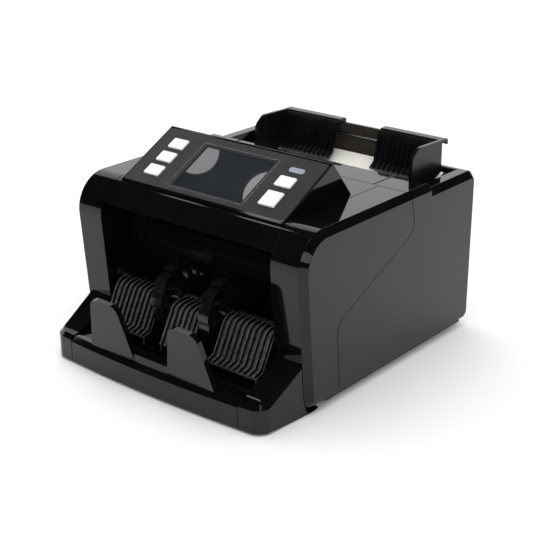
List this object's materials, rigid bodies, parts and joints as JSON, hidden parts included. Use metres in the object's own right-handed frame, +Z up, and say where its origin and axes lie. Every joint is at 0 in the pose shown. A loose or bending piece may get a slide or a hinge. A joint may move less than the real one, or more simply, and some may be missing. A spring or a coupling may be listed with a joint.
{
  "type": "banknote counting machine",
  "caption": "Desktop banknote counter: rear hopper with sliding guides, sloping console with keys, roller transport, stacker wheels and a front tray with note stops.",
  "frame": {"origin": "middle of the footprint, on the surface that the rubber feet stand on", "axes": "+X to the right as the user faces the front, +Y to the rear, +Z up"},
  "size_m": [0.25, 0.296, 0.1847],
  "materials": {
    "gloss_shell": "high gloss black",
    "satin_panel": "satin",
    "black_plastic": "fine texture",
    "white_key": "satin",
    "window": "polished dark",
    "lamp": "polished",
    "frame_steel": "zinc plated",
    "shaft_steel": "ground",
    "chute": "satin cream white",
    "roller_rubber": "moulded",
    "foot_rubber": "moulded",
    "bush": "sintered",
    "motor_can": "satin",
    "belt": "moulded",
    "circuit_board": "solder mask",
    "sensor": "moulded",
    "screw_steel": "blackened",
    "tie_steel": "plated"
  },
  "bodies": {
    "machine": {"left_front_cover": "gloss_shell", "right_front_cover": "gloss_shell", "left_rear_cover": "gloss_shell", "right_rear_cover": "gloss_shell", "front_cover": "gloss_shell", "top_plate": "gloss_shell", "front_tray": "gloss_shell", "left_tray_arm": "gloss_shell", "right_tray_arm": "gloss_shell", "note_stops": "gloss_shell", "display_panel": "satin_panel", "screen_bezel": "satin_panel", "base_pan": "black_plastic", "rear_panel": "black_plastic", "left_comb": "black_plastic", "centre_comb": "black_plastic", "right_comb": "black_plastic", "upper_guide": "black_plastic", "lower_guide": "black_plastic", "cavity_back": "black_plastic", "outlet_hood": "black_plastic", "hopper_back": "black_plastic", "power_inlet": "black_plastic", "power_switch": "black_plastic", "screen_window": "window", "indicator_window": "lamp", "left_side_frame": "frame_steel", "right_side_frame": "frame_steel", "hopper_chute": "chute", "feet": "foot_rubber", "shaft_bushes": "bush", "drive_motor": "motor_can", "main_belt": "belt", "right_belts": "belt", "display_board": "circuit_board", "main_board": "circuit_board", "power_supply": "circuit_board", "note_sensors": "sensor", "case_screws": "screw_steel", "tie_rods": "tie_steel"},
    "left_upper_button": {"left_upper_key": "white_key"},
    "left_middle_button": {"left_middle_key": "white_key"},
    "left_lower_button": {"left_lower_key": "white_key"},
    "right_upper_button": {"right_upper_key": "white_key"},
    "start_button": {"start_key": "white_key"},
    "rocker": {"switch_rocker": "black_plastic"},
    "left_guide": {"left_hopper_guide": "black_plastic"},
    "right_guide": {"right_hopper_guide": "black_plastic"},
    "stacker": {"stacker_shaft": "shaft_steel", "left_stacker_wheel": "black_plastic", "right_stacker_wheel": "black_plastic"},
    "exit_roller": {"exit_shaft": "shaft_steel", "exit_rollers": "roller_rubber"},
    "pinch_roller": {"pinch_shaft": "shaft_steel", "pinch_rollers": "roller_rubber"},
    "feed_roller": {"feed_shaft": "shaft_steel", "feed_rollers": "roller_rubber"},
    "pickup_roller": {"pickup_shaft": "shaft_steel", "pickup_rollers": "roller_rubber"},
    "motor_rotor": {"motor_pulley": "shaft_steel"}
  },
  "joints": [
    {"name": "left_upper_button_press", "type": "slide", "parent": "machine", "child": "left_upper_button", "axis": [0, 0.4591, -0.8884], "range_m": [0, 0.0008], "stiffness_N_per_m": 300, "springref_m": -0.0006},
    {"name": "left_middle_button_press", "type": "slide", "parent": "machine", "child": "left_middle_button", "axis": [0, 0.4591, -0.8884], "range_m": [0, 0.0008], "stiffness_N_per_m": 300, "springref_m": -0.0006},
    {"name": "left_lower_button_press", "type": "slide", "parent": "machine", "child": "left_lower_button", "axis": [0, 0.4591, -0.8884], "range_m": [0, 0.0008], "stiffness_N_per_m": 300, "springref_m": -0.0006},
    {"name": "right_upper_button_press", "type": "slide", "parent": "machine", "child": "right_upper_button", "axis": [0, 0.4591, -0.8884], "range_m": [0, 0.0008], "stiffness_N_per_m": 300, "springref_m": -0.0006},
    {"name": "start_button_press", "type": "slide", "parent": "machine", "child": "start_button", "axis": [0, 0.4591, -0.8884], "range_m": [0, 0.0008], "stiffness_N_per_m": 300, "springref_m": -0.0006},
    {"name": "rocker_tilt", "type": "hinge", "parent": "machine", "child": "rocker", "pos_m": [-0.031, 0.143, 0.04], "axis": [1, 0, 0], "range_deg": [-8, 8]},
    {"name": "left_guide_slide", "type": "slide", "parent": "machine", "child": "left_guide", "axis": [1, 0, 0], "range_m": [-0.031, 0.02]},
    {"name": "right_guide_slide", "type": "slide", "parent": "machine", "child": "right_guide", "axis": [1, 0, 0], "range_m": [-0.02, 0.006]},
    {"name": "feed_spin", "type": "hinge", "parent": "machine", "child": "feed_roller", "pos_m": [0, 0.042, 0.096], "axis": [1, 0, 0], "continuous": true},
    {"name": "exit_spin", "type": "hinge", "parent": "machine", "child": "exit_roller", "pos_m": [0, -0.02, 0.092], "axis": [1, 0, 0], "continuous": true},
    {"name": "pinch_spin", "type": "hinge", "parent": "machine", "child": "pinch_roller", "pos_m": [0, -0.02, 0.1123], "axis": [1, 0, 0], "continuous": true},
    {"name": "pickup_spin", "type": "hinge", "parent": "machine", "child": "pickup_roller", "pos_m": [0, 0.082, 0.107], "axis": [1, 0, 0], "continuous": true},
    {"name": "stacker_spin", "type": "hinge", "parent": "machine", "child": "stacker", "pos_m": [0, -0.072, 0.06], "axis": [1, 0, 0], "continuous": true},
    {"name": "motor_spin", "type": "hinge", "parent": "machine", "child": "motor_rotor", "pos_m": [0, 0.058, 0.045], "axis": [1, 0, 0], "continuous": true}
  ],
  "couplings": [
    {"joint": "exit_spin", "follows": "feed_spin", "ratio": 1.5},
    {"joint": "pinch_spin", "follows": "feed_spin", "ratio": -1.8333},
    {"joint": "pickup_spin", "follows": "feed_spin", "ratio": 1.0909},
    {"joint": "stacker_spin", "follows": "feed_spin", "ratio": 1.2},
    {"joint": "motor_spin", "follows": "feed_spin", "ratio": 1.3333}
  ]
}
